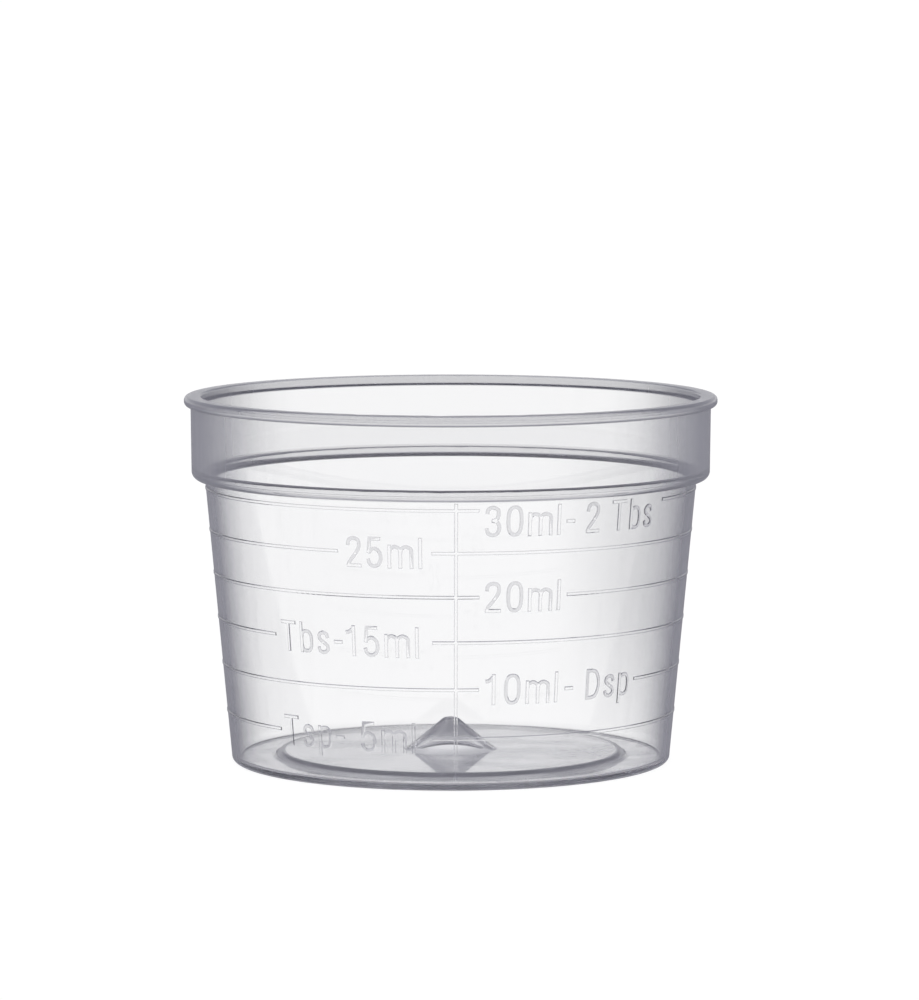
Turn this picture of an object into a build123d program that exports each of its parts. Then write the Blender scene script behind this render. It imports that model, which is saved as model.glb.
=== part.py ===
from build123d import *
from math import cos, pi, radians, tan
import os

os.makedirs("parts", exist_ok=True)

# Medicine cup: one thin-walled moulding with a tapered bowl, an upright collar
# on a shoulder, and a beaded rim. Raised lines outside the front half mark 5 ml steps.
# Lengths are in millimetres, angles in degrees and volumes in millilitres.
# The cup stands on the XY plane around the Z axis, with its marks towards -Y.

# Outside of the cup
BASE_RADIUS = 19.38          # where the bowl's straight wall would meet the table
BOWL_TAPER = 5.34            # lean of the bowl's wall
SHOULDER_HEIGHT = 25.1       # underside of the shoulder that carries the collar
SHOULDER_WIDTH = 1.17        # from the bowl out to the foot of the collar
COLLAR_HEIGHT = 7.35         # from the shoulder's underside to the rim
COLLAR_TAPER = 0.65
BEAD_OVERHANG = 0.58         # of the rim's bead over the collar
BEAD_HEIGHT = 0.9

# Thickness of the moulding
BOWL_WALL = 0.65
COLLAR_WALL = 0.95
SHOULDER_THICKNESS = 0.85
FLOOR_THICKNESS = 0.5

# The middle of the floor is pushed up, and its centre rises over the moulding's gate
PUSH_UP = 0.5
PUSH_UP_RADIUS = 15.1        # of the raised floor, seen from inside
PUSH_UP_SLOPE = 45.0
MOUND_HEIGHT = 2.75          # above the raised floor
MOUND_RADIUS = 3.9           # where its flank would meet the raised floor
MOUND_TIP_RADIUS = 0.6

# Edges of the section
BASE_CHAMFER = 0.3           # outside the standing ring
SHOULDER_ROUND = 0.7
MOUND_FOOT_ROUND = 1.2
MOUND_TIP_ROUND = 0.5
ROUNDED_SHARE = 0.97         # of a wide rounding, with a hair of flat between its two arcs
WIDE_TURN = 65.0             # a rounding that turns further than this is two arcs
BEAD_CHAMFER = 0.26
EDGE_CHAMFER = 0.22          # of the lip and of the edges inside the cup

# Raised marks
MARK_WIDTH = 0.32
MARK_RELIEF = 0.12
MARK_STEP = 5                # between two lines
MARK_SPAN = 180.0            # of the lines round the cup, centred on the upright line
MARK_CLEARANCE = 0.6         # from the top line to the shoulder
SCALE_ZERO = 0.15            # height from which the lines count their volume
UPRIGHT_ANGLE = 1.3          # of the upright line, from -Y towards +X
UPRIGHT_FOOT = 0.9           # lower end of the upright line
TICK_LENGTH = 2.05           # short end of each line on its label's side
SPOON_LABEL_LENGTHS = {5: 14.8, 10: 15.7, 15: 15.2, 30: 19.2}
PLAIN_LABEL_LENGTH = 8.05


def bowl_radius(height):
    """Outside radius of the bowl's straight wall."""
    return BASE_RADIUS + height * tan(radians(BOWL_TAPER))


def bowl_inside_radius(height):
    return bowl_radius(height) - BOWL_WALL / cos(radians(BOWL_TAPER))


def collar_radius(height):
    """Outside radius of the collar."""
    foot_radius = bowl_radius(SHOULDER_HEIGHT) + SHOULDER_WIDTH
    return foot_radius + (height - SHOULDER_HEIGHT) * tan(radians(COLLAR_TAPER))


def collar_inside_radius(height):
    return collar_radius(height) - COLLAR_WALL


def fill_height(volume):
    """Height at which the tapered bowl, counted from SCALE_ZERO, holds a volume."""
    slope = tan(radians(BOWL_TAPER))
    start = bowl_inside_radius(SCALE_ZERO)
    cubic_millimetres = 1000 * volume
    end = (start**3 + 3 * slope * cubic_millimetres / pi) ** (1 / 3)
    return SCALE_ZERO + (end - start) / slope


def split_corner(before, corner, after):
    """The corner itself, or two in its place where its rounding would turn far.

    The two share the turn, and their arcs meet halfway, so the rounding keeps its radius.
    """
    rounding = corner[2]
    point = Vector(corner[:2])
    arriving = (point - Vector(before[:2])).normalized()
    leaving = (Vector(after[:2]) - point).normalized()
    turn = arriving.get_angle(leaving)
    if not rounding or turn < WIDE_TURN:
        return [corner]
    setback = rounding * (tan(radians(turn / 2)) - tan(radians(turn / 4)))
    first = point - arriving * setback
    second = point + leaving * setback
    return [(end.X, end.Y, ROUNDED_SHARE * rounding) for end in (first, second)]


def rounded_outline(corners):
    """Closed face in the XZ plane from corners given as (radius, height, rounding)."""
    befores = corners[-1:] + corners[:-1]
    afters = corners[1:] + corners[:1]
    split = [part for triple in zip(befores, corners, afters) for part in split_corner(*triple)]
    points = [(x, z) for x, z, _ in split]
    roundings = [rounding for _, _, rounding in split]
    outline = FilletPolyline(points, radius=roundings, close=True)
    return Plane.XZ * make_face(outline.edges())


def outside_corners():
    """From the edge of the standing ring, up the wall and over the bead."""
    rim_height = SHOULDER_HEIGHT + COLLAR_HEIGHT
    bead_foot = rim_height - BEAD_HEIGHT
    bead_radius = collar_radius(bead_foot) + BEAD_OVERHANG
    return [
        (BASE_RADIUS - BASE_CHAMFER, 0, 0),
        (bowl_radius(BASE_CHAMFER), BASE_CHAMFER, 0),
        (bowl_radius(SHOULDER_HEIGHT), SHOULDER_HEIGHT, 0),
        (collar_radius(SHOULDER_HEIGHT), SHOULDER_HEIGHT, SHOULDER_ROUND),
        (collar_radius(bead_foot), bead_foot, 0),
        (bead_radius - BEAD_CHAMFER, bead_foot, 0),
        (bead_radius, bead_foot + BEAD_CHAMFER, 0),
        (bead_radius, rim_height - BEAD_CHAMFER, 0),
        (bead_radius - BEAD_CHAMFER, rim_height, 0),
    ]


def inside_corners():
    """From the lip, down the collar and the bowl to the edge of the floor."""
    rim_height = SHOULDER_HEIGHT + COLLAR_HEIGHT
    below_lip = rim_height - EDGE_CHAMFER
    step = SHOULDER_HEIGHT + SHOULDER_THICKNESS
    below_step = step - EDGE_CHAMFER
    above_floor = FLOOR_THICKNESS + EDGE_CHAMFER
    return [
        (collar_inside_radius(rim_height) + EDGE_CHAMFER, rim_height, 0),
        (collar_inside_radius(below_lip), below_lip, 0),
        (collar_inside_radius(step), step, 0),
        (bowl_inside_radius(step) + EDGE_CHAMFER, step, 0),
        (bowl_inside_radius(below_step), below_step, 0),
        (bowl_inside_radius(above_floor), above_floor, 0),
        (bowl_inside_radius(FLOOR_THICKNESS) - EDGE_CHAMFER, FLOOR_THICKNESS, 0),
    ]


def raised_floor_corners():
    """Upper side of the floor from its outer ring to the tip of the mound."""
    raised = FLOOR_THICKNESS + PUSH_UP
    slope_run = PUSH_UP / tan(radians(PUSH_UP_SLOPE))
    return [
        (PUSH_UP_RADIUS + slope_run, FLOOR_THICKNESS, 0),
        (PUSH_UP_RADIUS, raised, 0),
        (MOUND_RADIUS, raised, MOUND_FOOT_ROUND),
        (MOUND_TIP_RADIUS, raised + MOUND_HEIGHT, MOUND_TIP_ROUND),
        (0, raised + MOUND_HEIGHT, 0),
    ]


def underside_corners(upper_corners, thickness):
    """The line parallel to the floor's upper side, from the axis out to the standing ring.

    Each corner moves along the mitre of the two stretches that meet there. Where the
    centre of a rounding lies over the floor, its radius grows by the thickness, and
    where it lies below, the corner underneath is left sharp if too little is left.
    """
    lower = [(0, upper_corners[-1][1] - thickness, 0)]
    triples = list(zip(upper_corners, upper_corners[1:], upper_corners[2:]))
    for before, corner, after in reversed(triples):
        arriving = (Vector(corner[:2]) - Vector(before[:2])).normalized()
        leaving = (Vector(after[:2]) - Vector(corner[:2])).normalized()
        mitre = (arriving + leaving).rotate(Axis.Z, 90)
        moved = Vector(corner[:2]) + mitre * (thickness / (1 + arriving.dot(leaving)))
        bends_up = arriving.cross(leaving).Z < 0
        change = thickness if bends_up else -thickness
        rounding = max(corner[2] + change, 0) if corner[2] else 0
        lower.append((moved.X, moved.Y, rounding))
    return lower


def moulding():
    """The cup without its marks: one closed section turned about the axis."""
    inside = inside_corners()
    raised_floor = raised_floor_corners()
    underside = underside_corners([inside[-1]] + raised_floor, FLOOR_THICKNESS)
    corners = outside_corners() + inside + raised_floor + underside
    return revolve(rounded_outline(corners), axis=Axis.Z)


def ring_mark(height, start_angle, end_angle):
    """A raised line round the bowl between two angles, sunk into the wall by its own relief."""
    low = height - MARK_WIDTH / 2
    high = height + MARK_WIDTH / 2
    section = Polyline(
        (bowl_radius(low) - MARK_RELIEF, low),
        (bowl_radius(low) + MARK_RELIEF, low),
        (bowl_radius(high) + MARK_RELIEF, high),
        (bowl_radius(high) - MARK_RELIEF, high),
        close=True,
    )
    face = Plane.XZ * make_face(section.edges())
    line = revolve(face, axis=Axis.Z, revolution_arc=end_angle - start_angle)
    return Rot(0, 0, start_angle - 90) * line


def upright_mark():
    """The raised line that runs up the front of the bowl to the shoulder."""
    section = Polyline(
        (bowl_radius(UPRIGHT_FOOT) - MARK_RELIEF, UPRIGHT_FOOT),
        (bowl_radius(UPRIGHT_FOOT) + MARK_RELIEF, UPRIGHT_FOOT),
        (bowl_radius(SHOULDER_HEIGHT) + MARK_RELIEF, SHOULDER_HEIGHT),
        (bowl_radius(SHOULDER_HEIGHT) - MARK_RELIEF, SHOULDER_HEIGHT),
        close=True,
    )
    face = Plane.XZ * make_face(section.edges())
    return Rot(0, 0, UPRIGHT_ANGLE - 90) * extrude(face, MARK_WIDTH / 2, both=True)


def marked_volumes():
    """The volumes whose line fits on the bowl, under the shoulder."""
    volumes = []
    volume = MARK_STEP
    while fill_height(volume) + MARK_CLEARANCE < SHOULDER_HEIGHT:
        volumes.append(volume)
        volume += MARK_STEP
    return volumes


def marks():
    """All raised lines. Each leaves a gap for its label, on the right for even steps."""
    first_angle = UPRIGHT_ANGLE - MARK_SPAN / 2
    last_angle = UPRIGHT_ANGLE + MARK_SPAN / 2
    lines = [upright_mark()]
    for step, volume in enumerate(marked_volumes(), start=1):
        height = fill_height(volume)
        degrees_per_mm = 180 / (pi * bowl_radius(height))
        tick = TICK_LENGTH * degrees_per_mm
        gap = SPOON_LABEL_LENGTHS.get(volume, PLAIN_LABEL_LENGTH) * degrees_per_mm
        if step % 2 == 0:
            lines.append(ring_mark(height, first_angle, UPRIGHT_ANGLE + tick))
            lines.append(ring_mark(height, UPRIGHT_ANGLE + tick + gap, last_angle))
        else:
            lines.append(ring_mark(height, first_angle, UPRIGHT_ANGLE - tick - gap))
            lines.append(ring_mark(height, UPRIGHT_ANGLE - tick, last_angle))
    return lines


medicine_cup = moulding() + marks()
export_step(medicine_cup, "parts/medicine_cup.step")
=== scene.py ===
# %% [markdown]
# A medicine cup is one thin shell of clear plastic. Almost all of its look comes from light
# that is bent by the two faces of its wall, so this script builds one closed surface, inside
# and outside, with the real section and with every raised mark grown out of the same skin.
# The imported solid gives the frame: its height and rim are read from it.

# %% Load the frame
import math

import bpy
import numpy as np
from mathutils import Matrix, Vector
from mathutils.geometry import delaunay_2d_cdt


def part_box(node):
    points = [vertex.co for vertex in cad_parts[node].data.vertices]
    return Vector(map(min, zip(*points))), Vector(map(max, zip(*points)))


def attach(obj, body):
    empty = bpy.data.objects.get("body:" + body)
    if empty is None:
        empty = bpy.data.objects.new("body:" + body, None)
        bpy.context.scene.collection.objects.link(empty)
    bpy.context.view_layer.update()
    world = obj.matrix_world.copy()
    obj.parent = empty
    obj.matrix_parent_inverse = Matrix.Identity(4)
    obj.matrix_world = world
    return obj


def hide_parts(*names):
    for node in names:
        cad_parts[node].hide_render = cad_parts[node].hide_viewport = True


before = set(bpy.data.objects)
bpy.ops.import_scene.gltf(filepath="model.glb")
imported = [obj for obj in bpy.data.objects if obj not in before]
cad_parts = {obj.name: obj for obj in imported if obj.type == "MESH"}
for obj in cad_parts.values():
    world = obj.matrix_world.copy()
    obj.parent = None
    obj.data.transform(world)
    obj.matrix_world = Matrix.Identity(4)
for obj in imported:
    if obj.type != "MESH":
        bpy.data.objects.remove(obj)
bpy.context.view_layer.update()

MM = 0.001
low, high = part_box("medicine_cup")
RIM_RADIUS = high.x / MM
CUP_HEIGHT = high.z / MM
print("rim radius", round(RIM_RADIUS, 3), "mm, height", round(CUP_HEIGHT, 3), "mm")

# %% [markdown]
# The camera stands half a metre away with a long lens, a little above the rim. From there the
# rim shows as a flat ellipse and the sides hardly converge. The long side of the frame takes
# the whole sensor, and the cup stands slightly left of the middle.

# %% Camera
AIM_HEIGHT = 23.08
DISTANCE = 481.9
PITCH = math.radians(5.707)
SIDE_STEP = 0.774
LENS = 196.0
SENSOR = 36.0

camera_data = bpy.data.cameras.new("camera")
camera_data.lens = LENS
camera_data.sensor_fit = "VERTICAL"
camera_data.sensor_height = SENSOR
camera_data.clip_start = 0.01
camera = bpy.data.objects.new("camera", camera_data)
bpy.context.scene.collection.objects.link(camera)
camera.location = (
    SIDE_STEP * MM,
    -DISTANCE * math.cos(PITCH) * MM,
    (AIM_HEIGHT + DISTANCE * math.sin(PITCH)) * MM,
)
camera.rotation_euler = (math.pi / 2 - PITCH, 0, 0)
bpy.context.scene.camera = camera
print("camera at", [round(value, 3) for value in camera.location], "m, lens", LENS, "mm")

# %% [markdown]
# A moulded cup is a section turned about an axis. The section is written as corners of
# radius, height and rounding, in millimetres, walking from the axis under the floor, out to
# the standing ring, up the outside, over the rim and back down the inside to the axis.
# Working the section out from wall thicknesses keeps inside and outside parallel, which
# matters here: a wedge in the wall would bend the background.

# %% Sizes of the section
BASE_RADIUS = 19.38
BOWL_TAPER = math.radians(5.34)
SHOULDER_HEIGHT = 25.1
SHOULDER_WIDTH = 1.17
COLLAR_TAPER = math.radians(0.65)
BEAD_HEIGHT = 0.9
BOWL_WALL = 0.65
COLLAR_WALL = 0.95
SHOULDER_THICKNESS = 0.85
FLOOR_THICKNESS = 0.5
PUSH_UP = 0.5
PUSH_UP_RADIUS = 15.1
MOUND_RADIUS = 3.9
MOUND_TIP_RADIUS = 0.6
MOUND_HEIGHT = 2.75


def bowl_radius(height):
    """Radius outside the bowl: it grows by the tangent of the taper with height."""
    return BASE_RADIUS + height * math.tan(BOWL_TAPER)


def bowl_inside_radius(height):
    return bowl_radius(height) - BOWL_WALL / math.cos(BOWL_TAPER)


def collar_radius(height):
    """Radius outside the collar, which starts a shoulder's width out from the bowl."""
    rise = height - SHOULDER_HEIGHT
    return bowl_radius(SHOULDER_HEIGHT) + SHOULDER_WIDTH + rise * math.tan(COLLAR_TAPER)


def collar_inside_radius(height):
    return collar_radius(height) - COLLAR_WALL


print("radius at the shoulder", round(bowl_radius(SHOULDER_HEIGHT), 2), "mm outside and",
      round(bowl_inside_radius(SHOULDER_HEIGHT), 2), "mm inside")

# %% Corners of the section
BEAD_ROUND = 0.4
LIP_ROUND = 0.22
BASE_ROUND = 0.5
SHOULDER_ROUND = 0.7
ROOT_ROUND = 0.15
STEP_ROUND = 0.2
FLOOR_ROUND = 0.4
RAISED_ROUND = 0.6
MOUND_FOOT_ROUND = 1.2
MOUND_TIP_ROUND = 0.6
SMALLEST_ROUND = 0.08
FLOOR_EDGE = bowl_inside_radius(FLOOR_THICKNESS)
RAISED_FLOOR = FLOOR_THICKNESS + PUSH_UP
MOUND_TOP = RAISED_FLOOR + MOUND_HEIGHT


def upper_floor():
    """Upper side of the floor, from the foot of the wall to the tip of the mound."""
    return [
        (FLOOR_EDGE, FLOOR_THICKNESS, FLOOR_ROUND),
        (PUSH_UP_RADIUS + PUSH_UP, FLOOR_THICKNESS, RAISED_ROUND),
        (PUSH_UP_RADIUS, RAISED_FLOOR, RAISED_ROUND),
        (MOUND_RADIUS, RAISED_FLOOR, MOUND_FOOT_ROUND),
        (MOUND_TIP_RADIUS, MOUND_TOP, MOUND_TIP_ROUND),
        (0, MOUND_TOP, 0),
    ]


def lower_floor(upper):
    """The same line moved down by the floor's thickness along the mitre of each corner.

    A corner's mitre is the sum of the two unit normals that meet there, and the move is
    the thickness divided by one plus the cosine of the turn. A rounding whose centre lies
    over the floor grows by the thickness, and the others shrink by it.
    """
    points = np.array([corner[:2] for corner in upper])
    runs = np.diff(points, axis=0)
    runs /= np.linalg.norm(runs, axis=1)[:, None]
    below = np.column_stack((runs[:, 1], -runs[:, 0]))
    below *= np.sign(-below[:, 1:2])
    mitre = below[:-1] + below[1:]
    mitre *= FLOOR_THICKNESS / (1 + np.sum(runs[:-1] * runs[1:], axis=1))[:, None]
    moved = points[1:-1] + mitre
    turns = runs[:-1, 0] * runs[1:, 1] - runs[:-1, 1] * runs[1:, 0]
    grown = np.array([corner[2] for corner in upper[1:-1]]) - np.sign(turns) * FLOOR_THICKNESS
    roundings = np.maximum(grown, SMALLEST_ROUND).tolist()
    centre = (0, upper[-1][1] - FLOOR_THICKNESS, 0)
    return [centre] + [(r, z, rounding) for (r, z), rounding in zip(moved[::-1], roundings[::-1])]


def section_corners():
    """The closed walk: under the floor, up the outside, over the rim and down the inside."""
    step = SHOULDER_HEIGHT + SHOULDER_THICKNESS
    bead_foot = CUP_HEIGHT - BEAD_HEIGHT
    upper = upper_floor()
    return lower_floor(upper) + [
        (BASE_RADIUS, 0, BASE_ROUND),
        (bowl_radius(SHOULDER_HEIGHT), SHOULDER_HEIGHT, ROOT_ROUND),
        (collar_radius(SHOULDER_HEIGHT), SHOULDER_HEIGHT, SHOULDER_ROUND),
        (collar_radius(bead_foot), bead_foot, SMALLEST_ROUND),
        (RIM_RADIUS, bead_foot, BEAD_ROUND),
        (RIM_RADIUS, CUP_HEIGHT, BEAD_ROUND),
        (collar_inside_radius(CUP_HEIGHT), CUP_HEIGHT, LIP_ROUND),
        (collar_inside_radius(step), step, STEP_ROUND),
        (bowl_inside_radius(step), step, STEP_ROUND),
    ] + upper


corners = section_corners()
BASE_CORNER = next(i for i, corner in enumerate(corners) if corner[0] == BASE_RADIUS)

# Counted on from the base, in the order of section_corners
LIP_CORNER = BASE_CORNER + 6
LEDGE_CORNER = BASE_CORNER + 8
print("section has", len(corners), "corners")

# %% [markdown]
# Light shows every mistake in a clear wall, so the normals aren't left to an average of the
# faces. Each point of the section carries its exact normal, worked out with the point.

# %% Round the section
ARC_STEP = math.radians(9)
ROW_STEP = 1.3


def turned(direction, angles):
    """Unit vectors made by turning one direction by each angle."""
    c, s = np.cos(angles), np.sin(angles)
    x, y = direction
    return np.column_stack((c * x - s * y, s * x + c * y))


def right_of(directions):
    """The unit normals on the right of each direction."""
    return np.column_stack((directions[:, 1], -directions[:, 0]))


def rounded_section(corners):
    """Points and normals along the section, and the first and last row of each corner.

    An arc starts rounding * tan(turn / 2) before its corner. Its centre lies one rounding
    beside the start, and its points are that centre plus the rounding times the normal.
    """
    at = np.array([corner[:2] for corner in corners])
    roundings = [corner[2] for corner in corners]
    points, normals, spans = [], [], []
    count = 0
    for i, rounding in enumerate(roundings):
        before = at[i] - at[i - 1] if i else np.array((1.0, 0.0))
        after = at[i + 1] - at[i] if i + 1 < len(corners) else np.array((-1.0, 0.0))
        before = before / np.linalg.norm(before)
        after = after / np.linalg.norm(after)
        turn = math.atan2(before[0] * after[1] - before[1] * after[0], before @ after)
        if i in (0, len(corners) - 1):
            rows, row_normals = at[i][None], right_of(np.array([before if i == 0 else after]))
        else:
            steps = max(2, math.ceil(abs(turn) / ARC_STEP))
            side = math.copysign(rounding, turn)
            row_normals = right_of(turned(before, np.linspace(0, turn, steps + 1)))
            start = at[i] - before * rounding * math.tan(abs(turn) / 2)
            rows = start - side * row_normals[0] + side * row_normals
        if points:
            gap = np.linalg.norm(rows[0] - points[-1][-1])
            cuts = np.linspace(0, 1, max(1, round(gap / ROW_STEP)) + 1)[1:-1, None]
            if len(cuts):
                points.append(points[-1][-1] * (1 - cuts) + rows[0] * cuts)
                normals.append(np.repeat(row_normals[:1], len(cuts), axis=0))
                count += len(cuts)
        spans.append((count, count + len(rows) - 1))
        points.append(rows)
        normals.append(row_normals)
        count += len(rows)
    return np.concatenate(points), np.concatenate(normals), spans


section, section_normals, spans = rounded_section(corners)
WALL_FOOT, WALL_HEAD = spans[BASE_CORNER][1], spans[BASE_CORNER + 1][0]
print("section has", len(section), "rows; the marked wall is rows", WALL_FOOT, "to", WALL_HEAD)

# %% [markdown]
# The marks are lines of one width: rings for the volumes, an upright, and lettering that
# looks drawn with a single round of the cutter. So each glyph is written as the few strokes
# of a pen, and the ridge is a function of the distance to the nearest stroke. This gives
# lettering with the same height and flanks as the lines, without any font.

# %% Strokes of the lettering
STROKE = 0.34
CAP_HEIGHT = 2.70
X_HEIGHT = 2.06
HALF = STROKE / 2
CURVE_STEPS = 5
OVAL_STEPS = 28
OVAL_SQUARENESS = 2.6


def curve(points):
    """A smooth stroke through points: each span is a cubic whose end slopes are half the
    chord between the neighbouring points (Catmull-Rom)."""
    p = np.array(points, float)
    p = np.vstack((2 * p[0] - p[1], p, 2 * p[-1] - p[-2]))
    t = np.linspace(0, 1, CURVE_STEPS, endpoint=False)[None, :, None]
    a, b, c, d = (p[k:len(p) - 3 + k][:, None, :] for k in range(4))
    bend = 2 * a - 5 * b + 4 * c - d
    twist = 3 * b - a - 3 * c + d
    along = b + t / 2 * (c - a) + t**2 / 2 * bend + t**3 / 2 * twist
    return np.vstack((along.reshape(-1, 2), p[-2])), False


def line(*points):
    """A stroke of straight runs."""
    return np.array(points, float), False


def oval(centre, half_width, half_height):
    """A closed bowl: the superellipse |x|^n + |y|^n = 1, stretched to its half sizes."""
    t = np.linspace(0, 2 * math.pi, OVAL_STEPS, endpoint=False)
    x = np.sign(np.cos(t)) * np.abs(np.cos(t)) ** (2 / OVAL_SQUARENESS)
    y = np.sign(np.sin(t)) * np.abs(np.sin(t)) ** (2 / OVAL_SQUARENESS)
    return np.column_stack((centre[0] + half_width * x, centre[1] + half_height * y)), True


def arch(left, right):
    """A stem's arch in the letter m: up from the left stem, over, and down to the base."""
    middle = (left + right) / 2
    top = X_HEIGHT - HALF
    over = curve([(left, top - 0.62), (left + 0.10, top - 0.2), (middle, top),
                  (right - 0.06, top - 0.2), (right, top - 0.55)])[0]
    return np.vstack((over, (right, 0))), False


def letter_d():
    """A stem and the curve from its head to its foot, as one closed stroke."""
    bow = curve([(0.62, TOP), (1.12, 2.3), (1.4, CAP_HEIGHT / 2), (1.12, 0.4), (0.62, HALF)])[0]
    return np.vstack(((HALF, HALF), (HALF, TOP), bow)), True


# %% Glyphs, each as its width and the strokes of the pen
TOP = CAP_HEIGHT - HALF
GLYPHS = {
    "0": (1.50, [oval((0.75, CAP_HEIGHT / 2), 0.58, TOP - CAP_HEIGHT / 2)]),
    "1": (1.20, [line((0.73, 0), (0.73, CAP_HEIGHT)),
                 curve([(0.0, 2.06), (0.3, 2.12), (0.52, 2.28), (0.66, 2.45)])]),
    "2": (1.46, [curve([(0.19, 1.88), (0.3, 2.35), (0.73, TOP), (1.17, 2.33), (1.2, 1.75),
                        (0.8, 1.08), (0.34, 0.52), (0.19, HALF)]),
                 line((0.03, HALF), (1.44, HALF))]),
    "3": (1.44, [curve([(0.2, 1.98), (0.33, 2.4), (0.72, TOP), (1.12, 2.32), (1.17, 1.9),
                        (1.0, 1.5), (0.6, 1.41)]),
                 curve([(0.6, 1.41), (1.05, 1.28), (1.26, 0.82), (1.1, 0.33), (0.7, HALF),
                        (0.3, 0.32), (0.16, 0.78)])]),
    "5": (1.46, [line((1.3, TOP), (0.32, TOP), (0.2, 1.28)),
                 curve([(0.2, 1.3), (0.42, 1.58), (0.78, 1.68), (1.16, 1.42), (1.28, 0.9),
                        (1.12, 0.37), (0.7, HALF), (0.3, 0.35), (0.15, 0.8)])]),
    "m": (2.26, [line((HALF, 0), (HALF, X_HEIGHT)), arch(HALF, 1.13), arch(1.13, 2.26 - HALF)]),
    "l": (STROKE, [line((HALF, 0), (HALF, CAP_HEIGHT))]),
    "-": (0.88, [line((0, 1.16), (0.88, 1.16))]),
    "T": (1.74, [line((0, TOP), (1.74, TOP)), line((0.87, 0), (0.87, TOP))]),
    "D": (1.58, [letter_d()]),
    "s": (1.28, [curve([(1.09, 1.42), (0.98, 1.76), (0.64, X_HEIGHT - HALF), (0.28, 1.72),
                        (0.26, 1.36), (0.64, 1.06), (1.03, 0.76), (1.07, 0.42), (0.68, HALF),
                        (0.28, 0.3), (0.17, 0.64)])]),
    "p": (1.42, [line((HALF, -0.62), (HALF, X_HEIGHT)),
                 oval((0.71, X_HEIGHT / 2), 0.54, X_HEIGHT / 2 - HALF)]),
    "b": (1.42, [line((HALF, 0), (HALF, CAP_HEIGHT)),
                 oval((0.71, X_HEIGHT / 2), 0.54, X_HEIGHT / 2 - HALF)]),
}
GLYPH_GAP = 0.42
print(len(GLYPHS), "glyphs,", CAP_HEIGHT, "mm high")

# %% [markdown]
# The volumes sit where a bowl of this taper holds them. From one line to the next the cup
# gains five millilitres, so the lines draw closer together towards the wide end. Each line
# stops on one side of the upright for its label, right for even steps and left for odd ones.
# The gaps and the words are placed by their arc length from the front, at the line's height.
# The top label stands lower than its line, because the shoulder leaves no room beside it.

# %% Lines and labels
MARK_RELIEF = 0.05
MARK_FLANK = 0.08
SCALE_ZERO = 0.15
UPRIGHT_AZIMUTH = math.radians(1.3)
HALF_SPAN = math.radians(90)
LINE_STROKE = 0.32
LINE_RUN = 0.6
UPRIGHT_FOOT = 0.9
UPRIGHT_HEAD_GAP = 0.03
FLAT_RADIUS = 20.6
MARK_STEP = 5
LABEL_GAPS = {
    1: (-16.38, -1.59),
    2: (2.45, 18.14),
    3: (-16.79, -1.56),
    4: (2.49, 10.32),
    5: (-9.90, -1.62),
    6: (2.48, 21.69),
}
LABEL_DROP = {6: 0.93}
LABELS = {
    1: (("Tsp", -15.93), ("-", -10.27), ("5ml", -7.87)),
    2: (("10ml", 2.97), ("-", 10.17), ("Dsp", 12.35)),
    3: (("Tbs", -16.1), ("-", -10.41), ("15ml", -9.20)),
    4: (("20ml", 2.91),),
    5: (("25ml", -9.17),),
    6: (("30ml", 2.93), ("-", 10.25), ("2", 12.21), ("Tbs", 14.95)),
}


def fill_height(volume):
    """Height that holds a volume in millilitres, from the volume of a slice of a cone."""
    slope = math.tan(BOWL_TAPER)
    start = bowl_inside_radius(SCALE_ZERO)
    end = (start**3 + 3 * slope * 1000 * volume / math.pi) ** (1 / 3)
    return SCALE_ZERO + (end - start) / slope


def unrolled(azimuth):
    """Where an azimuth lies across the unrolled plane in which the marks are laid out."""
    return azimuth * FLAT_RADIUS


def lettered(text, start, height):
    """Strokes of a word whose first glyph starts at an arc length, in the unrolled plane.

    Arc lengths are true at the line's own radius, and the plane is laid out at one radius,
    so widths are scaled by the ratio of the two.
    """
    scale = FLAT_RADIUS / bowl_radius(height)
    strokes, x = [], start
    for letter in text:
        width, pen = GLYPHS[letter]
        for points, closed in pen:
            across = (points[:, 0] + x) * scale
            up = points[:, 1] + height - CAP_HEIGHT / 2
            strokes.append((np.column_stack((across, up)), closed, STROKE))
        x += width + GLYPH_GAP
    return strokes


def straight(start, end):
    """A long line as short even runs, so that it can follow the wall's curve."""
    runs = max(1, round(np.linalg.norm(np.subtract(end, start)) / LINE_RUN))
    return np.linspace(start, end, runs + 1), False, LINE_STROKE


def mark_strokes():
    """Every stroke on the wall as (points, closed, width), in millimetres."""
    middle = unrolled(UPRIGHT_AZIMUTH)
    head = section[WALL_HEAD][1] - UPRIGHT_HEAD_GAP
    strokes = [straight((middle, UPRIGHT_FOOT), (middle, head))]
    left = unrolled(UPRIGHT_AZIMUTH - HALF_SPAN)
    right = unrolled(UPRIGHT_AZIMUTH + HALF_SPAN)
    for step, (gap_start, gap_end) in LABEL_GAPS.items():
        z = fill_height(MARK_STEP * step)
        scale = FLAT_RADIUS / bowl_radius(z)
        strokes.append(straight((left, z), (gap_start * scale, z)))
        strokes.append(straight((gap_end * scale, z), (right, z)))
        for text, start in LABELS[step]:
            strokes += lettered(text, start, z - LABEL_DROP.get(step, 0))
    return strokes


strokes = mark_strokes()
line_heights = [round(fill_height(MARK_STEP * step), 2) for step in LABEL_GAPS]
print(len(strokes), "strokes; lines at", line_heights, "mm")

# %% [markdown]
# The front of the wall is cut into triangles that follow the outline of every stroke twice,
# at its foot and at its flat top. Between the two runs the flank. A constrained Delaunay
# triangulation does this in the unrolled plane, and the ridge's height at each point comes
# from the same distance function, so crossing lines need no special case.

# %% Outlines and ridge height
COLUMNS = 360
PATCH_COLUMNS = 96
SHARPEST_MITRE = 0.35


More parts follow.
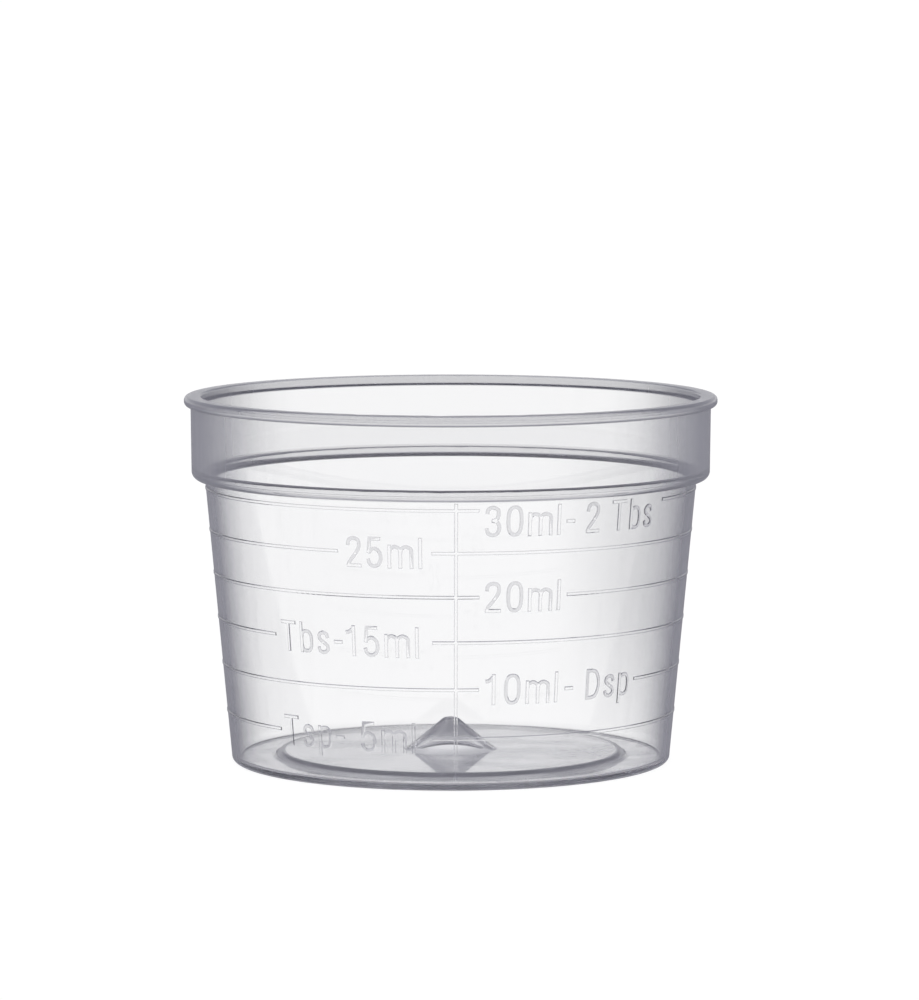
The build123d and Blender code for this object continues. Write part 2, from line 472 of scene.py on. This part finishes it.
def outline(points, closed, half_width, pull_back):
    """Closed outlines around a stroke at half its width, mitred at its inner points.

    The mitre at a point is the mean of the two side normals divided by its squared length.
    """
    p = points.copy()
    if not closed:
        p[0] += pull_back * (p[1] - p[0]) / np.linalg.norm(p[1] - p[0])
        p[-1] += pull_back * (p[-2] - p[-1]) / np.linalg.norm(p[-2] - p[-1])
    around = np.vstack((p, p[:1])) if closed else p
    runs = np.diff(around, axis=0)
    side = right_of(runs / np.linalg.norm(runs, axis=1)[:, None])
    before = np.vstack((side[-1:], side[:-1])) if closed else np.vstack((side[:1], side))
    after = side if closed else np.vstack((side, side[-1:]))
    mitre = (before + after) / 2
    mitre /= np.maximum(np.sum(mitre**2, axis=1), SHARPEST_MITRE)[:, None]
    if closed:
        return [p + half_width * mitre, p - half_width * mitre]
    return [np.vstack((p + half_width * mitre, (p - half_width * mitre)[::-1]))]


def depth_inside(at, points, closed, width):
    """How far each point lies inside a stroke: half the width less the distance to its line.

    Past an open end the distance to the end's flat cap counts instead.
    """
    around = np.vstack((points, points[:1])) if closed else points
    a, b = around[:-1], around[1:]
    run = b - a
    length = np.linalg.norm(run, axis=1)
    along = np.einsum("pik,ik->pi", at[:, None] - a[None], run / length[:, None])
    nearest = a + np.clip(along / length, 0, 1)[..., None] * run
    depth = width / 2 - np.linalg.norm(at[:, None] - nearest, axis=2)
    if not closed:
        depth[:, 0] = np.minimum(depth[:, 0], along[:, 0])
        depth[:, -1] = np.minimum(depth[:, -1], length[-1] - along[:, -1])
    return depth.max(axis=1)


def ridge_height(at):
    """Depth inside the nearest stroke, and the relief: it rises over the flank's width and is
    flat beyond it."""
    depth = np.full(len(at), -1.0)
    for points, closed, width in strokes:
        near = np.all((at > points.min(0) - width) & (at < points.max(0) + width), axis=1)
        if near.any():
            depth[near] = np.maximum(depth[near], depth_inside(at[near], points, closed, width))
    return depth, MARK_RELIEF * np.clip(depth / MARK_FLANK, 0, 1)


# %% Turn the section into a surface
def swept(azimuth, r, z):
    """Points of the surface: (r sin a, -r cos a, z), with azimuth 0 at the front."""
    return np.stack((r * np.sin(azimuth), -r * np.cos(azimuth), z * np.ones_like(azimuth)), axis=-1)


azimuths = (np.arange(COLUMNS) - COLUMNS // 2) * 2 * math.pi / COLUMNS
ring_rows = section[1:-1]
ring_normals = section_normals[1:-1]

# Without the pole, which is one point and comes later, every row counts one less.
WALL_FOOT, WALL_HEAD = WALL_FOOT - 1, WALL_HEAD - 1
grid = swept(azimuths[None], ring_rows[:, :1], ring_rows[:, 1:])
grid_normals = swept(azimuths[None], ring_normals[:, :1], ring_normals[:, 1:])
index = np.arange(grid.shape[0] * COLUMNS).reshape(grid.shape[0], COLUMNS)
beside = np.roll(index, -1, axis=1)
quads = np.stack((index[:-1], beside[:-1], beside[1:], index[1:]), axis=-1)

# The lip and the ledge of a real moulding are never quite even: a sum of sines of the
# azimuth with whole numbers of waves lowers their inner edges by a few hundredths.
WAVES = ((7, 0.010), (13, 0.008), (29, 0.010), (53, 0.008), (71, 0.006))
unevenness = sum(size * np.sin(count * azimuths + count**2) for count, size in WAVES)
inner_edge = np.zeros(len(ring_rows), bool)
for corner in (LIP_CORNER, LEDGE_CORNER):
    inner_edge[spans[corner][0] - 1:spans[corner][1]] = True
grid[inner_edge, :, 2] -= np.abs(unevenness)

# The marked wall gets its own triangles, so its quads are left out here.
first_column = COLUMNS // 2 - PATCH_COLUMNS
last_column = COLUMNS // 2 + PATCH_COLUMNS
keep = np.ones(quads.shape[:2], bool)
keep[WALL_FOOT:WALL_HEAD, first_column:last_column] = False
quads = quads[keep]
print(len(quads), "quads in the turned surface")

# %% Triangulate the marked wall
GRID_COLUMN_STEP = 2
GRID_ROWS = 30
GRID_GAP = 0.09
MERGE_DISTANCE = 1e-5


def edge_loop(first, count):
    """Edges that join a run of points, and its last point to its first."""
    ids = np.arange(first, first + count)
    return np.column_stack((ids, np.roll(ids, -1)))


wall_heights = ring_rows[WALL_FOOT:WALL_HEAD + 1, 1]
patch_azimuths = azimuths[first_column:last_column + 1]
patch_index = index[WALL_FOOT:WALL_HEAD + 1, first_column:last_column + 1]
u, v = np.meshgrid(unrolled(patch_azimuths), wall_heights)
border = [
    (0, slice(None, -1)),
    (slice(None, -1), -1),
    (-1, slice(None, 0, -1)),
    (slice(None, 0, -1), 0),
]
border_points = np.concatenate([np.column_stack((u[at].ravel(), v[at].ravel())) for at in border])
border_index = np.concatenate([patch_index[at].ravel() for at in border])

loops = [border_points]
loop_edges = [edge_loop(0, len(border_points))]
total = len(border_points)
for points, closed, width in strokes:
    for inset in (0, MARK_FLANK):
        for ring in outline(points, closed, width / 2 - inset, inset):
            loops.append(ring)
            loop_edges.append(edge_loop(total, len(ring)))
            total += len(ring)
inner_u, inner_v = np.meshgrid(
    unrolled(patch_azimuths[GRID_COLUMN_STEP:-1:GRID_COLUMN_STEP]),
    np.linspace(wall_heights[0], wall_heights[-1], GRID_ROWS)[1:-1],
)
inner = np.column_stack((inner_u.ravel(), inner_v.ravel()))
inner = inner[ridge_height(inner)[0] < -GRID_GAP]
plane_points = np.concatenate(loops + [inner])
plane_edges = np.concatenate(loop_edges)
plane_vectors = [Vector(point) for point in plane_points]
cut = delaunay_2d_cdt(plane_vectors, plane_edges.tolist(), [], 0, MERGE_DISTANCE)
flat_points = np.array(cut[0], float)
triangles = np.array(cut[2], int)
points_behind = cut[3]
relief = ridge_height(flat_points)[1]
print(len(flat_points), "points and", len(triangles), "triangles in the marked wall")

# %% Lay the marked wall round the bowl
NORMAL_UP = -math.sin(BOWL_TAPER)
NORMAL_OUT = math.cos(BOWL_TAPER)
patch_azimuth = flat_points[:, 0] / FLAT_RADIUS
patch_points = swept(
    patch_azimuth,
    bowl_radius(flat_points[:, 1]) + relief * NORMAL_OUT,
    flat_points[:, 1] + relief * NORMAL_UP,
)
patch_normals = swept(patch_azimuth, NORMAL_OUT, NORMAL_UP)

# A point of the patch's border is the turned surface's own vertex, so the two share it.
on_border = np.array([min(ids, default=total) for ids in points_behind])
shared = on_border < len(border_points)
patch_vertex = np.arange(len(flat_points)) + index.size
patch_vertex[shared] = border_index[on_border[shared]]
print(int(shared.sum()), "points of the marked wall are shared with the turned surface")

# %% Join both into one closed skin
poles = np.array(((0, 0, section[0][1]), (0, 0, section[-1][1])))
vertices = np.concatenate((grid.reshape(-1, 3), patch_points, poles))
POLE_BELOW = len(vertices) - 2
fan_below = np.column_stack((np.full(COLUMNS, POLE_BELOW), beside[0], index[0]))
fan_above = np.column_stack((np.full(COLUMNS, POLE_BELOW + 1), index[-1], beside[-1]))
pole_normals = ((0, 0, -1), (0, 0, 1))
vertex_normals = np.concatenate((grid_normals.reshape(-1, 3), patch_normals, pole_normals))
print(len(vertices), "vertices before the unused ones are dropped")

# %% Flat normals on the flanks of the marks
SAME_RELIEF = 1e-6
SHORTEST_NORMAL = 1e-12

patch_faces = patch_vertex[triangles]
flank = np.ptp(relief[triangles], axis=1) > SAME_RELIEF
first_edges = vertices[patch_faces[:, 1]] - vertices[patch_faces[:, 0]]
second_edges = vertices[patch_faces[:, 2]] - vertices[patch_faces[:, 0]]
face_normals = np.cross(first_edges, second_edges)
face_normals /= np.maximum(np.linalg.norm(face_normals, axis=1), SHORTEST_NORMAL)[:, None]
patch_corner_normals = patch_normals[triangles]
patch_corner_normals[flank] = face_normals[flank][:, None]
print(int(flank.sum()), "triangles on the flanks")

# %% Make the mesh
def as_mesh(name, vertices, faces, corner_normals):
    """A mesh of only the vertices in use, smooth, with its own normal at every corner."""
    flat_faces = np.concatenate([f.ravel() for f in faces])
    used, packed = np.unique(flat_faces, return_inverse=True)
    cuts = np.cumsum([f.size for f in faces])[:-1]
    packed = [part.reshape(f.shape) for part, f in zip(np.split(packed.ravel(), cuts), faces)]
    packed_faces = [face for part in packed for face in part.tolist()]
    packed_normals = np.concatenate([part.reshape(-1, 3) for part in corner_normals])
    mesh = bpy.data.meshes.new(name)
    mesh.from_pydata((vertices[used] * MM).tolist(), [], packed_faces, shade_flat=False)
    mesh.normals_split_custom_set(packed_normals.tolist())
    return mesh


def mark_corners(mesh, name, values):
    """A number at every face corner, which the material can read by its name."""
    attribute = mesh.attributes.new(name, "FLOAT", "CORNER")
    attribute.data.foreach_set("value", values.astype(np.float32))


skin = as_mesh(
    "cup_shell",
    vertices,
    [quads, fan_below, fan_above, patch_faces],
    [
        vertex_normals[quads],
        vertex_normals[fan_below],
        vertex_normals[fan_above],
        patch_corner_normals,
    ],
)
on_flank = np.zeros(len(skin.loops))
on_flank[-patch_faces.size:] = np.repeat(flank, 3)
mark_corners(skin, "mark_edge", on_flank)
cup = bpy.data.objects.new("cup_shell", skin)
bpy.context.scene.collection.objects.link(cup)
print(len(skin.vertices), "vertices and", len(skin.polygons), "faces in the cup")

# %% Check that the skin is closed
edge_uses = np.zeros(len(skin.edges), int)
loop_edge = np.zeros(len(skin.loops), int)
skin.loops.foreach_get("edge_index", loop_edge)
np.add.at(edge_uses, loop_edge, 1)
print("edges that don't join two faces:", int(np.sum(edge_uses != 2)))

# %% [markdown]
# Shader maths reads best as plain expressions. The class below wraps an output socket, so
# that a product or a sum of two of them adds the Math node for it.

# %% Sockets that can be added and multiplied
class Wire:
    """An output socket. Arithmetic on it adds Math nodes to the same tree."""

    def __init__(self, tree, socket):
        self.tree, self.socket = tree, socket

    def math(self, operation, other=0.0, first=None):
        node = Nodes(self.tree).add("ShaderNodeMath", {"operation": operation})
        for slot, value in zip(node.inputs, (self if first is None else first, other)):
            Nodes(self.tree).feed(slot, value)
        return Wire(self.tree, node.outputs[0])

    def __add__(self, other):
        return self.math("ADD", other)

    def __radd__(self, other):
        return self.math("ADD", other)

    def __sub__(self, other):
        return self.math("SUBTRACT", other)

    def __rsub__(self, other):
        return self.math("SUBTRACT", self, first=other)

    def __mul__(self, other):
        return self.math("MULTIPLY", other)

    def __rmul__(self, other):
        return self.math("MULTIPLY", other)

    def __pow__(self, other):
        return self.math("POWER", other)


class Nodes:
    """Adds nodes to a tree, settings first and then the values or links of the sockets."""

    def __init__(self, tree):
        self.tree = tree

    def feed(self, slot, value):
        if isinstance(value, Wire):
            self.tree.links.new(value.socket, slot)
        else:
            slot.default_value = value

    def add(self, kind, settings=None, **inputs):
        node = self.tree.nodes.new(kind)
        for name, value in (settings or {}).items():
            if name == "stops":
                self.set_stops(node.color_ramp, value)
            else:
                setattr(node, name, value)
        for name, value in inputs.items():
            self.feed(node.inputs[name.replace("_", " ")], value)
        return node

    def set_stops(self, ramp, stops):
        while len(ramp.elements) < len(stops):
            ramp.elements.new(1.0)
        for element, (position, colour) in zip(ramp.elements, stops):
            element.position = position
            element.color = colour

    def wire(self, kind, output=0, settings=None, **inputs):
        return Wire(self.tree, self.add(kind, settings, **inputs).outputs[output])


# %% [markdown]
# Seen straight on, the plastic is clear. Seen at a slant, its haze gathers and it turns milky,
# and the thick collar does so sooner than the bowl. Two shaders are mixed for this: a clear
# one that bends light, and a milky one. The share of the milky one follows the Layer Weight
# node, which gives how far the surface turns away from the eye, and the place on the cup:
# the ledge, the bead, the floor and the slope round its raised middle each have their own haze.
# The mound's haze is painted shade, which makes it a dark, softly shaded cone, and more haze
# towards the right side of the bowl and the floor is painted shade there. The floor and the
# mound get a lighter milky colour, which is painted light. The cutter left the flanks of the
# marks dull, so they are a little milky from every side.

# %% How milky each part of the cup is
CLEAR = (0.99, 0.99, 0.993, 1)
MILKY = (0.4, 0.4, 0.455, 1)
# Painted light: the milky colour of the floor and the mound is lighter than on the walls.
LIT_MILKY_FLOOR = (0.68, 0.68, 0.74, 1)
BOWL_HAZE = 0.6
BOWL_SLANTS = (0.4, 1.1)
COLLAR_HAZE = 0.52
COLLAR_SLANTS = (0.2, 0.68)
COLLAR_FACE_HAZE = 0.02
COLLAR_START = (SHOULDER_HEIGHT - 0.1, SHOULDER_HEIGHT + 0.3)
LEDGE_HAZE = 0.12
LEDGE_SPAN = (SHOULDER_HEIGHT, SHOULDER_HEIGHT + SHOULDER_THICKNESS + 0.2)
BEAD_HAZE = 0.22
BEAD_FOOT = CUP_HEIGHT - BEAD_HEIGHT
EDGE_BLUR = 0.1
FLANK_HAZE = 0.3
STREAK_HAZE = 0.06
STREAK_SCALE = (900.0, 900.0, 90.0)
STREAK_NOISE = (0.45, 0.75)
# Painted shade: the bowl turns more milky, and so darker, towards its right side.
RIGHT_PAINTED_SHADE = 0.1
RIGHT_SIDE = (0.4 * BASE_RADIUS, BASE_RADIUS)
RIGHT_HEIGHTS = (0, 16)

# %% How milky the floor is
FLOOR_HAZE = 0.24
EVEN_SHARE = 0.6
CLOUD_SHARE = 0.6
# Painted shade: the floor's haze grows towards its right side, which darkens it there.
RIGHT_SHADE_SHARE = 0.4
CLOUD_SCALE = (110.0, 220.0, 100.0)
CLOUD_NOISE = (0.35, 0.7)
FLOOR_BLUR = 0.4
SLOPE_HAZE = 0.35
SLOPE_MARGIN = 0.5
SLOPE_BLUR = 0.25
# Painted shade: the mound is made milky so that it shows as a dark, softly shaded cone.
MOUND_PAINTED_SHADE = 0.36
MOUND_SHADE_HEIGHTS = (RAISED_FLOOR + 0.2, RAISED_FLOOR + 1.6)
MOUND_SHADE_RADII = (2, 4)
FLOOR_LIGHT_HEIGHTS = (MOUND_TOP, 1.5 * MOUND_HEIGHT + 1)
print("haze of the bowl", BOWL_HAZE, "and of the floor", FLOOR_HAZE)

# %% Masks over the cup
def mixed(nodes, share, first, second):
    """A colour between two others."""
    node = nodes.add("ShaderNodeMix", {"data_type": "RGBA"})
    nodes.feed(node.inputs[0], share)
    nodes.feed(node.inputs[6], first)
    nodes.feed(node.inputs[7], second)
    return Wire(nodes.tree, node.outputs[2])


def rising(nodes, value, start, end):
    """Nought below the start, one above the end, and a smooth step between."""
    return nodes.wire("ShaderNodeMapRange", settings={"interpolation_type": "SMOOTHSTEP"},
                      Value=value, From_Min=start, From_Max=end)


def between(nodes, value, start, end, blur):
    """One between two values, with a smooth step at each."""
    return rising(nodes, value, start, start + blur) * (1 - rising(nodes, value, end - blur, end))


def clouds(nodes, place, scale, span):
    """Smooth noise, stretched so that the span runs from nought to one."""
    moved = nodes.wire("ShaderNodeMapping", Vector=place, Scale=scale)
    noise = nodes.wire("ShaderNodeTexNoise", Vector=moved, Scale=1.0, Detail=3.0)
    return rising(nodes, noise, *span)


def cup_place(nodes):
    """The Object coordinates, and from them the side, radius and height in millimetres."""
    place = Wire(nodes.tree, nodes.add("ShaderNodeTexCoord").outputs["Object"])
    scaled = nodes.wire("ShaderNodeVectorMath", settings={"operation": "SCALE"},
                        Vector=place, Scale=1 / MM)
    x, y, z = (nodes.wire("ShaderNodeSeparateXYZ", output=axis, Vector=scaled) for axis in range(3))
    return place, x, (x * x + y * y) ** 0.5, z


def wall_haze(nodes, place, right_shade_mask, height):
    """Haze of the bowl and the collar, which rises with the slant, painted shade that darkens the
    bowl towards its right side, and its faint streaks.
    """
    slant = nodes.wire("ShaderNodeLayerWeight", output=1, Blend=0.5)
    on_collar = rising(nodes, height, *COLLAR_START)
    bowl = BOWL_HAZE * rising(nodes, slant, *BOWL_SLANTS) + RIGHT_PAINTED_SHADE * right_shade_mask
    collar = COLLAR_HAZE * rising(nodes, slant, *COLLAR_SLANTS) + COLLAR_FACE_HAZE
    streaks = clouds(nodes, place, STREAK_SCALE, STREAK_NOISE)
    return bowl * (1 - on_collar) + collar * on_collar, STREAK_HAZE * streaks * slant


def edge_haze(nodes, height):
    """Haze of the ledge, the bead and the flanks of the marks."""
    on_ledge = between(nodes, height, *LEDGE_SPAN, EDGE_BLUR)
    on_bead = rising(nodes, height, BEAD_FOOT - EDGE_BLUR, BEAD_FOOT)
    marks = nodes.add("ShaderNodeAttribute", {"attribute_name": "mark_edge"})
    on_flank = Wire(nodes.tree, marks.outputs["Fac"])
    return LEDGE_HAZE * on_ledge + BEAD_HAZE * on_bead + FLANK_HAZE * on_flank


def floor_haze(nodes, place, right_shade_mask, radius, on_floor):
    """Haze of the floor, in soft clouds, with painted shade that grows towards its right side, and of
    the slope round its raised middle.
    """
    floor_clouds = clouds(nodes, place, CLOUD_SCALE, CLOUD_NOISE)
    slope_start = PUSH_UP_RADIUS - SLOPE_MARGIN
    slope_end = PUSH_UP_RADIUS + PUSH_UP
    on_slope = between(nodes, radius, slope_start, slope_end, SLOPE_BLUR)
    floor = FLOOR_HAZE * (EVEN_SHARE + CLOUD_SHARE * floor_clouds + RIGHT_SHADE_SHARE * right_shade_mask)
    return on_floor * (floor + SLOPE_HAZE * on_slope)


def haze(nodes):
    """Share and colour of the milky shader, from the slant, the place and the marks, with painted
    shade on the right side and on the mound, and painted light in the floor's lighter milky colour.
    """
    place, side, radius, height = cup_place(nodes)
    # Painted shade: a mask that grows towards the right side, where the bowl and the floor are made
    # darker.
    right_shade_mask = rising(nodes, side, *RIGHT_SIDE) * rising(nodes, height, *RIGHT_HEIGHTS)
    within_wall = 1 - rising(nodes, radius, FLOOR_EDGE - FLOOR_BLUR, FLOOR_EDGE)
    on_floor = (1 - rising(nodes, height, RAISED_FLOOR, RAISED_FLOOR + FLOOR_BLUR)) * within_wall
    # Painted shade on the mound: more haze, and so darker, above its foot and near the axis.
    near_axis = 1 - rising(nodes, radius, *MOUND_SHADE_RADII)
    shaded_mound = rising(nodes, height, *MOUND_SHADE_HEIGHTS) * near_axis
    # Painted light: the milky colour turns lighter at and below the mound's top, inside the wall.
    painted_floor_light = (1 - rising(nodes, height, *FLOOR_LIGHT_HEIGHTS)) * within_wall

    wall, streaks = wall_haze(nodes, place, right_shade_mask, height)
    floor = floor_haze(nodes, place, right_shade_mask, radius, on_floor)
    share = wall * (1 - on_floor) + streaks + floor + MOUND_PAINTED_SHADE * shaded_mound + edge_haze(nodes, height)
    return share, mixed(nodes, painted_floor_light, MILKY, LIT_MILKY_FLOOR)


# %% Clear and milky plastic
PLASTIC_IOR = 1.49
MILKY_ROUGHNESS = 0.35


def clear_plastic():
    """Natural polypropylene: clear, a little milky, with a soft gloss."""
    material = bpy.data.materials.new("natural_polypropylene")
    material.use_nodes = True
    tree = material.node_tree
    tree.nodes.clear()
    nodes = Nodes(tree)
    clear = nodes.wire(
        "ShaderNodeBsdfPrincipled",
        Base_Color=CLEAR,
        Roughness=0.0,
        IOR=PLASTIC_IOR,
        Transmission_Weight=1.0,
    )
    share, colour = haze(nodes)
    milky = nodes.wire("ShaderNodeBsdfPrincipled", Base_Color=colour,
                       Roughness=MILKY_ROUGHNESS, IOR=PLASTIC_IOR)
    blend = nodes.add("ShaderNodeMixShader")
    for slot, value in zip(blend.inputs, (share, clear, milky)):
        nodes.feed(slot, value)
    nodes.add("ShaderNodeOutputMaterial", Surface=Wire(tree, blend.outputs[0]))
    return material


skin.materials.append(clear_plastic())
print(len(skin.materials[0].node_tree.nodes), "nodes in the plastic")

# %% [markdown]
# The cup is shown as clear ware usually is: white behind, and dimmer all around. White reaches
# the eye along paths that pass straight through the plastic. A path that was reflected or
# scattered on the way finds grey surroundings instead, white only in a band low down, and
# that is what draws the edges and lights the floor. Light Path tells the two kinds of path
# apart, and it does so from every side alike.

# %% White behind, dim around
WHITE = (1.02, 1.02, 1.02, 1)
DIM = (0.27, 0.268, 0.305, 1)
LEFT = (0.5, 0.5, 0.54, 1)
RIGHT = (0.4, 0.4, 0.44, 1)
HIGH = (0.6, 0.6, 0.64, 1)
UNDER_CUP = (0.85, 0.85, 0.88, 1)
UNDER_SHADED = (0.6, 0.6, 0.64, 1)
SHADE_START = 0.8 * BASE_RADIUS * MM
SHADE_END = 1.05 * BASE_RADIUS * MM

# Upward parts of a direction: where white behind ends, where the grey above it begins, and
# between which two the white band for reflected paths fades out
WHITE_UP_TO = 0.2
HIGH_FROM = 0.45
LOW_BAND = (0.14, 0.24)


def passed_straight(nodes):
    """One where the path so far was only transmitted, and nought after any bounce."""
    path = nodes.add("ShaderNodeLightPath")
    glossy = Wire(nodes.tree, path.outputs["Glossy Depth"])
    diffuse = Wire(nodes.tree, path.outputs["Diffuse Depth"])
    return (glossy + diffuse).math("LESS_THAN", 0.5)


# %% Table
TABLE_REACH = 30.0
around_table = ((-1, -1), (1, -1), (1, 1), (-1, 1))
table_mesh = bpy.data.meshes.new("table")
table_corners = [(TABLE_REACH * x, TABLE_REACH * y, 0) for x, y in around_table]
table_mesh.from_pydata(table_corners, [], [(0, 1, 2, 3)])
table = bpy.data.objects.new("table", table_mesh)
bpy.context.scene.collection.objects.link(table)


def table_finish():
    """A white lit table, shaded softly under the cup."""
    material = bpy.data.materials.new("white_table")
    material.use_nodes = True
    tree = material.node_tree
    tree.nodes.clear()
    nodes = Nodes(tree)
    place = nodes.add("ShaderNodeTexCoord")
    away = nodes.wire("ShaderNodeVectorMath", output=1, settings={"operation": "LENGTH"},
                      Vector=Wire(tree, place.outputs["Object"]))
    shade = nodes.wire("ShaderNodeMapRange", Value=away, From_Min=SHADE_START, From_Max=SHADE_END)
    seen = mixed(nodes, shade, UNDER_CUP, WHITE)
    around_it = mixed(nodes, shade, UNDER_SHADED, DIM)
    colour = mixed(nodes, passed_straight(nodes), around_it, seen)
    glow = nodes.wire("ShaderNodeEmission", Color=colour, Strength=1.0)
    nodes.add("ShaderNodeOutputMaterial", Surface=glow)
    return material


table_mesh.materials.append(table_finish())
print("table reaches", TABLE_REACH, "m each way")

# %% Studio surroundings
world = bpy.data.worlds.new("studio")
bpy.context.scene.world = world
world.use_nodes = True
world.node_tree.nodes.clear()
studio = Nodes(world.node_tree)
direction = Wire(world.node_tree, studio.add("ShaderNodeTexCoord").outputs["Generated"])
rightward = studio.wire("ShaderNodeSeparateXYZ", output=0, Vector=direction)
upward = studio.wire("ShaderNodeSeparateXYZ", output=2, Vector=direction)
behind = studio.wire(
    "ShaderNodeValToRGB",
    settings={"stops": [(0.0, WHITE), (WHITE_UP_TO, WHITE), (HIGH_FROM, HIGH), (1.0, HIGH)]},
    Fac=upward,
)
sides = mixed(studio, rightward * 0.5 + 0.5, LEFT, RIGHT)
low_band = 1 - rising(studio, upward, *LOW_BAND)
around = mixed(studio, low_band, sides, WHITE)
light = mixed(studio, passed_straight(studio), around, behind)
background = studio.wire("ShaderNodeBackground", Color=light, Strength=1.0)
studio.add("ShaderNodeOutputWorld", Surface=background)
bpy.context.scene.view_settings.view_transform = "Standard"
print(len(world.node_tree.nodes), "nodes in the studio")

# %% Hand over
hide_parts("medicine_cup")
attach(cup, "root")
